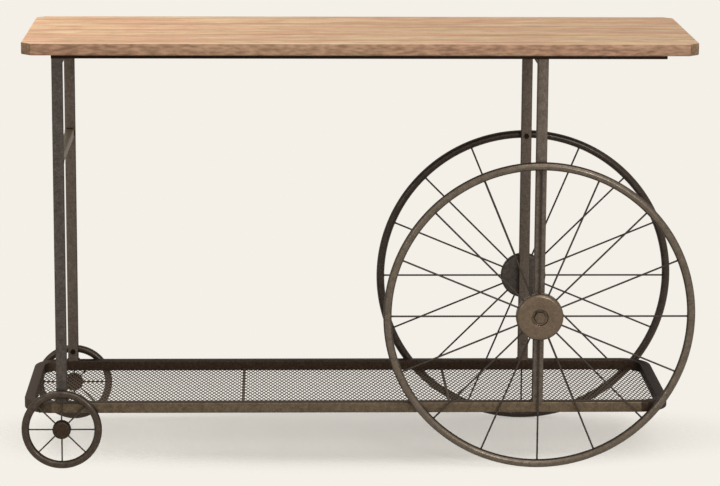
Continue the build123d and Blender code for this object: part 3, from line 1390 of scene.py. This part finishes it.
@dataclass(frozen=True)
class HexBolt:
    """A hexagon bolt whose head is turned to a bevel on its corners.

    The last four sizes are shares of the size over the flats, and of the corners' radius.
    """

    flats: float
    head: float
    shank: float
    face_inset: float = 0.06
    face_round: float = 0.02
    corner_drop: float = 0.05
    corner_share: float = 0.97

    def build(self, seat: Vector, out: int, length: float) -> Shape:
        """Model the bolt; its shank runs inwards from the seat.

        Args:
            seat: The middle of its seat.
            out: +1 where the head points to +Y, and -1 where it points to -Y.
            length: The length of the shank.

        Returns:
            The bolt.
        """
        outward = Vector((0, out, 0))
        corner = hexagon_radius(self.flats)
        top = seat + outward * self.head
        head = add_rod(seat, top, corner, sides=6)

        def is_corner(place: Vector, normal: Vector) -> bool:
            on_top = (place - top).dot(outward) > -TOUCHING
            return on_top and (place - top).length > corner * self.corner_share

        with editing(head):
            pick(Element.FACE, lambda middle, normal: (middle - top).length < NEAR)
            bpy.ops.mesh.inset(thickness=self.flats * self.face_inset)
            bpy.ops.mesh.bevel(offset=self.flats * self.face_round, segments=2, affect="EDGES")
            pick(Element.VERT, is_corner)
            bpy.ops.transform.translate(value=-outward * self.flats * self.corner_drop)
            bpy.ops.mesh.select_all(action="SELECT")
            bpy.ops.transform.rotate(value=math.pi / 6, orient_axis="Y", center_override=seat)
        return join([head, add_rod(seat - outward * length, seat, self.shank / 2, sides=32)])


@dataclass(frozen=True)
class Wheels:
    """The four wheels with their hubs and bolts."""

    big_spokes: int = 16
    big_rim_steps: int = 192
    big_weld: float = 3 * MM
    small_spokes: int = 8
    small_rim_steps: int = 96
    small_weld: float = 2 * MM
    hub_bolt: HexBolt = HexBolt(22 * MM, 7.5 * MM, 12 * MM)
    rim_bolt: HexBolt = HexBolt(10 * MM, 4 * MM, 6 * MM)
    small_hub_round: float = 5 * MM
    small_hub_dome: float = 1.0 * MM
    dome_middle: float = 0.45
    dome_fall: float = 0.3

    def build(self, coats: Coats) -> None:
        """Model every wheel, its hub and the bolts.

        Args:
            coats: The coats of the steel.
        """
        small_rims = []
        small_hubs = []
        caps = []
        bolts = []
        # The back big wheel takes darker copies of the coat for its rim and drum, painted shade.
        looks = {Side.FRONT: (coats.rim, coats.cap), Side.BACK: (coats.back_rim, coats.painted_shade_leg)}
        for side, (rim_coat, drum_coat) in looks.items():
            name = f"{side.label}_big_wheel"
            big = Wheel(f"{name}_rim", f"{name}_spokes", self.big_spokes, self.big_rim_steps, self.big_weld)
            hand_over(big.build(coats.wire), f"{name}_ring", rim_coat, Slot.STEEL, big.rim_node)
            hub = BigHub(big.centre(), side.value)
            drum = hub.spin(hub.drum_outline())
            hand_over(drum, f"{name}_drum", drum_coat, Slot.HUB, "big_wheel_hub_cores")
            caps.append(hub.spin(hub.cap_outline()))
            bolts.append(self.build_hub_bolt(hub))
            small = Wheel(
                "small_wheel_rims",
                f"{side.label}_small_wheel_spokes",
                self.small_spokes,
                self.small_rim_steps,
                self.small_weld,
                shared_rim=True,
            )
            small_rims.append(small.build(coats.small))
            small_hubs.append(self.turn_small_hub(small.centre(), side.value))
        hand_over(join(small_rims), "small_wheel_rings", coats.small, Slot.STEEL, "small_wheel_rims")
        # The small hubs take a darker copy of the coat, painted shade.
        hand_over(join(small_hubs), "small_wheel_hubs_turned", coats.back, Slot.HUB, "small_wheel_hubs")
        hand_over(join(caps), "big_wheel_caps", coats.cap, Slot.HUB, "big_wheel_hub_caps")
        hand_over(join(bolts), "hub_bolts_hex", coats.bolt, Slot.BOLT, "hub_bolts")
        # The rim bolts take a near-black copy of the coat, painted shade.
        self.build_rim_bolts(coats.bar)

    def build_hub_bolt(self, hub: BigHub) -> Shape:
        """Model the bolt in a big wheel's hub.

        Args:
            hub: The hub that it goes through.

        Returns:
            The bolt.
        """
        seat = hub.centre + Vector((0, hub.out * (hub.depth - hub.recess_depth), 0))
        return self.hub_bolt.build(seat, hub.out, abs(seat.y) - nearest_face("hub_bolts"))

    def turn_small_hub(self, centre: Vector, out: int) -> Shape:
        """Turn the hub of a small wheel, domed at both ends.

        Args:
            centre: The middle of the wheel.
            out: +1 where outwards is +Y, and -1 where it is -Y.

        Returns:
            The hub.
        """
        low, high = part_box("small_wheel_hubs")
        radius = (high.x - low.x) / 2
        half = high.y - abs(centre.y)
        edge = self.small_hub_round
        shoulder = half - self.small_hub_dome - edge
        crown = (radius * self.dome_middle, half - self.small_hub_dome * self.dome_fall)
        outline = [
            (0.0, -half),
            (crown[0], -crown[1]),
            *arc_points((radius - edge, -shoulder), edge, -90, 0, steps=7),
            *arc_points((radius - edge, shoulder), edge, 0, 90, steps=7),
            crown,
            (0.0, half),
        ]
        return spin_profile(outline, centre, out, steps=64)

    def build_rim_bolts(self, paint: Finish) -> None:
        """Model the bolts through the legs into the tops of the rims.

        Args:
            paint: Their finish.
        """
        low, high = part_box("rim_bolts")
        face = nearest_face("rim_bolts") + self.rim_bolt.head
        corner = hexagon_radius(self.rim_bolt.flats)
        places = [
            (low.x + corner, low.z + self.rim_bolt.flats / 2),
            (high.x - corner, high.z - self.rim_bolt.flats / 2),
        ]
        bolts = []
        for side in Side:
            for x, z in places:
                seat = Vector((x, side.value * face, z))
                bolts.append(self.rim_bolt.build(seat, -side.value, high.y - face))
        hand_over(join(bolts), "rim_bolts_hex", paint, Slot.BOLT, "rim_bolts")


# ---------------------------------------------------------------- studio
def add_object(data: bpy.types.Camera | bpy.types.Light) -> Shape:
    """Add a camera or a lamp to the scene.

    Args:
        data: The camera's or the lamp's data.

    Returns:
        The object, which has the name of its data.
    """
    new = bpy.data.objects.new(data.name, data)
    bpy.context.scene.collection.objects.link(new)
    return new


@dataclass(frozen=True)
class Camera:
    """The camera, by its place, its turn and its angle of view."""

    place: Triple = (-0.1798, -6.1507, 1.6882)
    yaw: float = 1.7544
    pitch: float = 11.4997
    roll: float = 0.3181
    focal_pixels: float = 2959.6
    image_width: int = 720
    sensor: float = 36.0
    far_limit: float = 60.0

    def build(self) -> None:
        """Add the camera and make it the scene's own."""
        data = bpy.data.cameras.new("studio_camera")
        data.sensor_fit = "HORIZONTAL"
        data.sensor_width = self.sensor
        data.lens = self.focal_pixels * self.sensor / self.image_width
        data.clip_end = self.far_limit
        camera = add_object(data)
        turn = (
            Matrix.Rotation(-math.radians(self.yaw), 4, "Z")
            @ Matrix.Rotation(math.radians(90 - self.pitch), 4, "X")
            @ Matrix.Rotation(math.radians(self.roll), 4, "Z")
        )
        camera.matrix_world = Matrix.Translation(self.place) @ turn
        bpy.context.scene.camera = camera


@dataclass(frozen=True)
class Softbox:
    """A square lamp with a white cloth front, aimed at a point of the table."""

    name: str
    place: Triple
    size: float
    power: float
    aim: Triple = (0.0, 0.0, 0.5)

    def build(self) -> None:
        """Hang the lamp."""
        data = bpy.data.lights.new(self.name, "AREA")
        data.shape = "SQUARE"
        data.size = self.size
        data.energy = self.power
        lamp = add_object(data)
        lamp.location = self.place
        way = Vector(self.aim) - Vector(self.place)
        lamp.rotation_euler = way.to_track_quat("-Z", "Y").to_euler()


@dataclass(frozen=True)
class Studio:
    """Pale floor, pale backdrop and soft lamps."""

    backdrop: str = "#f4f0e8"
    bounce: str = "#8d877e"
    sky_colour: str = "#fffcf9"
    sky: float = 0.42
    sun: float = 1.04
    sun_colour: Triple = (1.0, 0.98, 0.95)
    sun_spread: float = 38.0
    sun_turn: tuple[float, float] = (26.0, 14.0)
    floor_size: float = 30.0
    floor_gap: float = 0.2 * MM
    shadow_middle: Triple = (0.0, 0.06, 0.0)
    shadow_reach: Triple = (0.80, 0.26, 1.0)
    fade: Range = (0.65, 1.25)
    lift: float = 0.44
    softboxes: tuple[Softbox, ...] = (
        Softbox("right_softbox", (1.3, -3.1, 1.5), 0.8, 28.0),
        Softbox("left_softbox", (-2.2, -3.0, 1.5), 0.6, 7.0),
        Softbox("top_softbox", (-1.4, 0.0, 2.1), 0.6, 15.0, (-0.7, 0.0, 0.9)),
    )

    def build(self) -> None:
        """Set up the world, the floor and the lamps."""
        self.build_world()
        self.build_floor()
        self.build_lamps()
        bpy.context.scene.view_settings.view_transform = "Standard"

    def seen_ray(self, add: Adder) -> Socket:
        """Tell the rays that show the backdrop from those that only light the table.

        Args:
            add: Adds a node to the tree.

        Returns:
            A socket that is 1 for camera, glossy and transmission rays.
        """
        path = add("LightPath").outputs
        seen = path["Is Camera Ray"]
        for ray in ("Is Glossy Ray", "Is Transmission Ray"):
            seen = add("Math", {"operation": "MAXIMUM"}, [seen, path[ray]]).outputs[0]
        return seen

    def build_world(self) -> None:
        """Light the scene evenly, and show the backdrop's colour to the camera and in the metal."""
        world = bpy.data.worlds.new("pale studio")
        add = start_nodes(world)
        light = add("Background", inputs={"Color": linear(self.sky_colour), "Strength": self.sky})
        shown = add("Background", inputs={"Color": linear(self.backdrop), "Strength": 1.0})
        mixed = add("MixShader", inputs=[self.seen_ray(add), light.outputs[0], shown.outputs[0]])
        add("OutputWorld", inputs={"Surface": mixed.outputs[0]})
        bpy.context.scene.world = world

    def build_floor(self) -> None:
        """Lay a matt floor that fades into the backdrop away from the table."""
        clear_selection()
        bpy.ops.mesh.primitive_plane_add(size=self.floor_size, location=(0, 0, -self.floor_gap))
        floor = settle()
        floor.name = "studio_floor"
        material = bpy.data.materials.new("matt pale floor")
        add = start_nodes(material)
        place = add("TexCoord").outputs["Object"]
        offset = add("VectorMath", {"operation": "SUBTRACT"}, [place, self.shadow_middle])
        scaled = add("VectorMath", {"operation": "DIVIDE"}, [offset.outputs[0], self.shadow_reach])
        far = add("VectorMath", {"operation": "LENGTH"}, [scaled.outputs[0]]).outputs["Value"]
        smooth = {"interpolation_type": "SMOOTHSTEP"}
        fade = add("MapRange", smooth, [far, *self.fade, self.lift, 1.0]).outputs[0]
        seen = self.seen_ray(add)
        hide = add("Math", {"operation": "MULTIPLY"}, [fade, seen]).outputs[0]
        shades = {0: seen, 6: linear(self.bounce), 7: linear(self.backdrop)}
        colour = add("Mix", COLOURS, shades).outputs[MIXED]
        matt = add("BsdfDiffuse", inputs={"Color": colour}).outputs[0]
        clear = add("BsdfTransparent").outputs[0]
        mixed = add("MixShader", inputs=[hide, matt, clear]).outputs[0]
        add("OutputMaterial", inputs={"Surface": mixed})
        floor.data.materials.append(material)

    def build_lamps(self) -> None:
        """Hang a broad soft key lamp, and softboxes that give the metal its sheen."""
        key = bpy.data.lights.new("key_lamp", "SUN")
        key.energy = self.sun
        key.angle = math.radians(self.sun_spread)
        key.color = self.sun_colour
        add_object(key).rotation_euler = Euler((*map(math.radians, self.sun_turn), 0))
        for softbox in self.softboxes:
            softbox.build()


# ---------------------------------------------------------------- assembly
def dress_hidden_nodes() -> None:
    """Give the nuts, which stay inside the legs, their zinc."""
    grey = "#8c8f90"
    zinc = Coating("zinc plated steel", grey, "#a9abab", rub=0.5, painted_side_light=grey, metallic=0.9).build()
    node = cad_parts["hub_nuts"]
    node.data.materials.clear()
    node.data.materials.append(zinc)


def main() -> None:
    """Build the table and its studio."""
    logging.basicConfig(level=logging.INFO, format="%(message)s")
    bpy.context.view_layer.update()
    Camera().build()
    Studio().build()
    coats = Coats()
    Top().build(coats)
    Stand().build(coats)
    Tray().build(coats)
    Wheels().build(coats)
    dress_hidden_nodes()


if __name__ == "__main__":
    main()
